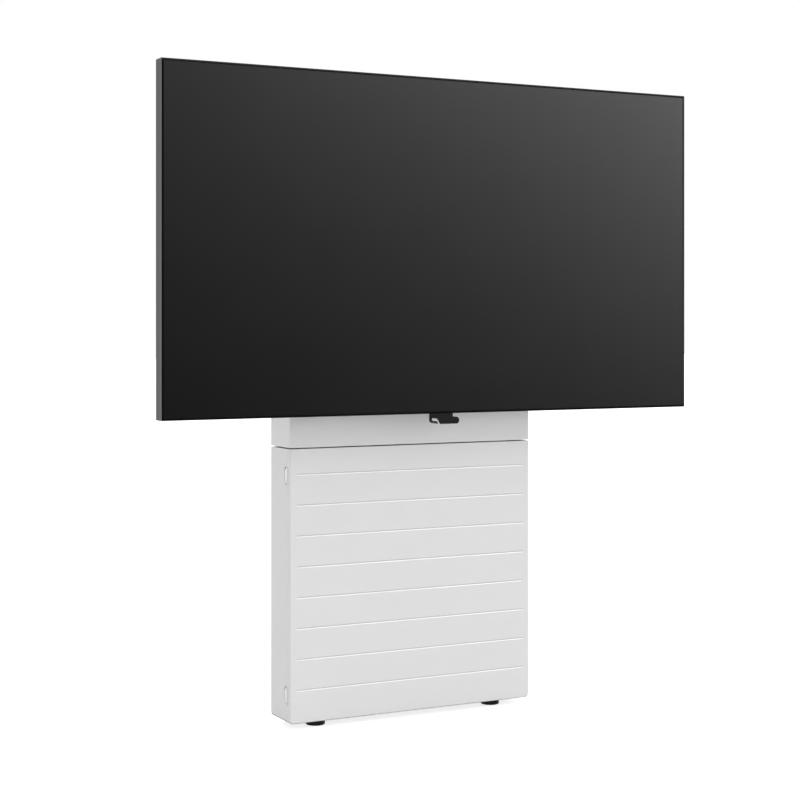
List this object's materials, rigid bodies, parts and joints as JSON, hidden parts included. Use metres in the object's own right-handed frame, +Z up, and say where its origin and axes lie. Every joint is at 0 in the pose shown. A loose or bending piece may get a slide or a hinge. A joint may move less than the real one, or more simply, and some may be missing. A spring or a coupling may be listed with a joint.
{
  "type": "tv lift mechanism",
  "caption": "Electric floor-to-wall screen lift: telescopic columns in a white grooved steel cover raise a carriage with hook rails that carry a flat screen.",
  "frame": {"origin": "centre of the four wall holes, on the wall plane, 380 mm above the floor", "axes": "+X to the viewer's right, +Y into the wall, +Z up; the front faces -Y"},
  "size_m": [1.446, 0.2705, 1.5871],
  "materials": {
    "white_steel": "fine-textured white powder coat",
    "black_steel": "black powder coat",
    "frame_steel": "galvanised sheet",
    "steel": "zinc plated",
    "aluminium": "satin anodised",
    "cast": "die cast",
    "motor": "black enamel",
    "black_plastic": "fine-grained black plastic",
    "glide_plastic": "natural slide plastic",
    "rubber": "matt",
    "bezel": "dark anodised",
    "glass": "dark satin glass",
    "display": "plain"
  },
  "bodies": {
    "base": {"back_frame": "frame_steel", "lower_housing": "white_steel", "housing_top_plate": "white_steel", "base_beam": "black_steel", "beam_end_caps": "black_plastic", "foot_nuts": "steel", "column_clamps": "black_steel", "control_box": "black_plastic", "power_inlet": "black_plastic", "motor_leads": "black_plastic", "lead_clips": "black_plastic", "cover_catches": "black_plastic", "left_finger_cups": "white_steel", "right_finger_cups": "white_steel", "left_gearbox": "cast", "right_gearbox": "cast", "left_motor": "motor", "right_motor": "motor", "left_outer_profile": "aluminium", "right_outer_profile": "aluminium", "outer_glides": "glide_plastic"},
    "front_cover": {"front_cover": "white_steel", "cover_studs": "steel"},
    "left_foot": {"left_foot_pad": "black_plastic", "left_foot_stud": "steel"},
    "right_foot": {"right_foot_pad": "black_plastic", "right_foot_stud": "steel"},
    "middle_stage": {"left_middle_profile": "aluminium", "right_middle_profile": "aluminium", "middle_lower_glides": "glide_plastic", "middle_upper_glides": "glide_plastic", "lower_nuts": "glide_plastic", "screw_bearings": "steel"},
    "carriage": {"left_inner_profile": "aluminium", "right_inner_profile": "aluminium", "inner_glides": "glide_plastic", "upper_nuts": "glide_plastic", "carriage_beam": "black_steel", "carriage_end_caps": "black_plastic", "left_upright": "black_steel", "right_upright": "black_steel", "upper_housing": "white_steel", "upper_rail": "black_steel", "lower_rail": "black_steel", "rail_bolts": "steel"},
    "left_lead_screw": {"left_lead_screw": "steel"},
    "right_lead_screw": {"right_lead_screw": "steel"},
    "left_hollow_screw": {"left_hollow_screw": "steel"},
    "right_hollow_screw": {"right_hollow_screw": "steel"},
    "screen": {"screen_bezel": "bezel", "screen_glass": "glass", "display_module": "display", "rear_shell": "black_plastic", "sensor_module": "black_plastic", "vesa_bosses": "steel", "left_arm": "black_steel", "right_arm": "black_steel", "arm_pads": "rubber", "arm_bolts": "steel"}
  },
  "joints": [
    {"name": "lift", "type": "slide", "parent": "middle_stage", "child": "carriage", "axis": [0, 0, 1], "range_m": [0, 0.325]},
    {"name": "middle_stage_slide", "type": "slide", "parent": "base", "child": "middle_stage", "axis": [0, 0, 1], "range_m": [0, 0.325]},
    {"name": "front_cover_pull", "type": "slide", "parent": "base", "child": "front_cover", "axis": [0, -1, 0], "range_m": [0, 0.15]},
    {"name": "left_foot_levelling", "type": "slide", "parent": "base", "child": "left_foot", "axis": [0, 0, 1], "range_m": [-0.012, 0.004]},
    {"name": "right_foot_levelling", "type": "slide", "parent": "base", "child": "right_foot", "axis": [0, 0, 1], "range_m": [-0.012, 0.004]},
    {"name": "screen_lift_off", "type": "slide", "parent": "carriage", "child": "screen", "axis": [0, 0, 1], "range_m": [0, 0.025]},
    {"name": "left_lead_screw_spin", "type": "hinge", "parent": "base", "child": "left_lead_screw", "pos_m": [-0.25, -0.0575, 0], "axis": [0, 0, 1], "range_deg": [0, 11730]},
    {"name": "left_hollow_screw_spin", "type": "hinge", "parent": "middle_stage", "child": "left_hollow_screw", "pos_m": [-0.25, -0.0575, 0], "axis": [0, 0, 1], "range_deg": [0, 11730]},
    {"name": "right_lead_screw_spin", "type": "hinge", "parent": "base", "child": "right_lead_screw", "pos_m": [0.25, -0.0575, 0], "axis": [0, 0, 1], "range_deg": [0, 11730]},
    {"name": "right_hollow_screw_spin", "type": "hinge", "parent": "middle_stage", "child": "right_hollow_screw", "pos_m": [0.25, -0.0575, 0], "axis": [0, 0, 1], "range_deg": [0, 11730]}
  ],
  "couplings": [
    {"joint": "middle_stage_slide", "follows": "lift", "ratio": 1},
    {"joint": "left_lead_screw_spin", "follows": "lift", "rad_per_m": 628.32},
    {"joint": "left_hollow_screw_spin", "follows": "lift", "rad_per_m": 628.32},
    {"joint": "right_lead_screw_spin", "follows": "lift", "rad_per_m": 628.32},
    {"joint": "right_hollow_screw_spin", "follows": "lift", "rad_per_m": 628.32}
  ]
}
